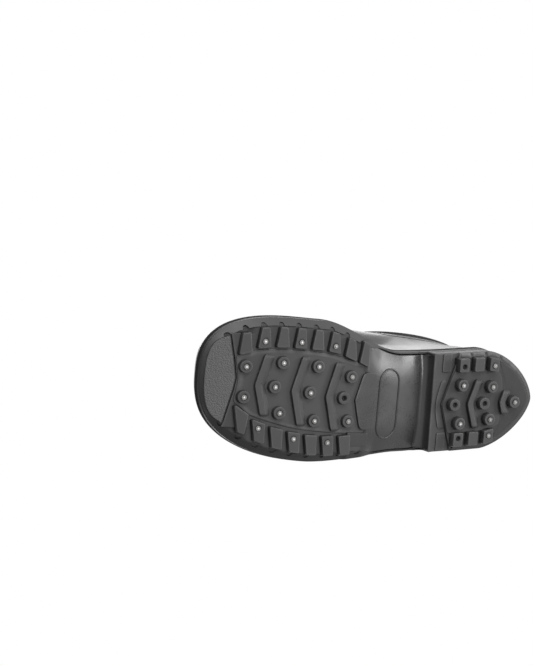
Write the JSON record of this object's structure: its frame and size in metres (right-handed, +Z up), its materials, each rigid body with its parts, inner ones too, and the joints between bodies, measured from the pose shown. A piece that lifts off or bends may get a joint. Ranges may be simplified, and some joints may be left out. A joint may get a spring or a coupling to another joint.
{
  "type": "anti-slip overshoe",
  "caption": "Black rubber overshoe for a work boot, right foot, with a lugged tread and hard-metal ice studs.",
  "frame": {"origin": "middle of the overshoe's footprint, on the plane of the stud tips it stands on", "axes": "+Z up, -Y to the toe, +Y to the heel, +X to the inner side of the right foot"},
  "size_m": [0.1235, 0.3236, 0.1084],
  "materials": {
    "upper_rubber": "satin",
    "sole_rubber": "matte",
    "liner": "matte",
    "stud_steel": "polished",
    "stud_tip": "satin"
  },
  "bodies": {
    "root": {"upper_shell": "upper_rubber", "toe_cap": "upper_rubber", "lateral_quarter": "upper_rubber", "medial_quarter": "upper_rubber", "heel_counter": "upper_rubber", "collar_band": "upper_rubber", "foxing_band": "upper_rubber", "insole": "liner", "outsole": "sole_rubber", "heel_lift": "sole_rubber", "fore_field_jackets": "stud_steel", "fore_field_pins": "stud_tip", "fore_lug_jackets": "stud_steel", "fore_lug_pins": "stud_tip", "heel_field_jackets": "stud_steel", "heel_field_pins": "stud_tip", "heel_lug_jackets": "stud_steel", "heel_lug_pins": "stud_tip"}
  },
  "joints": []
}
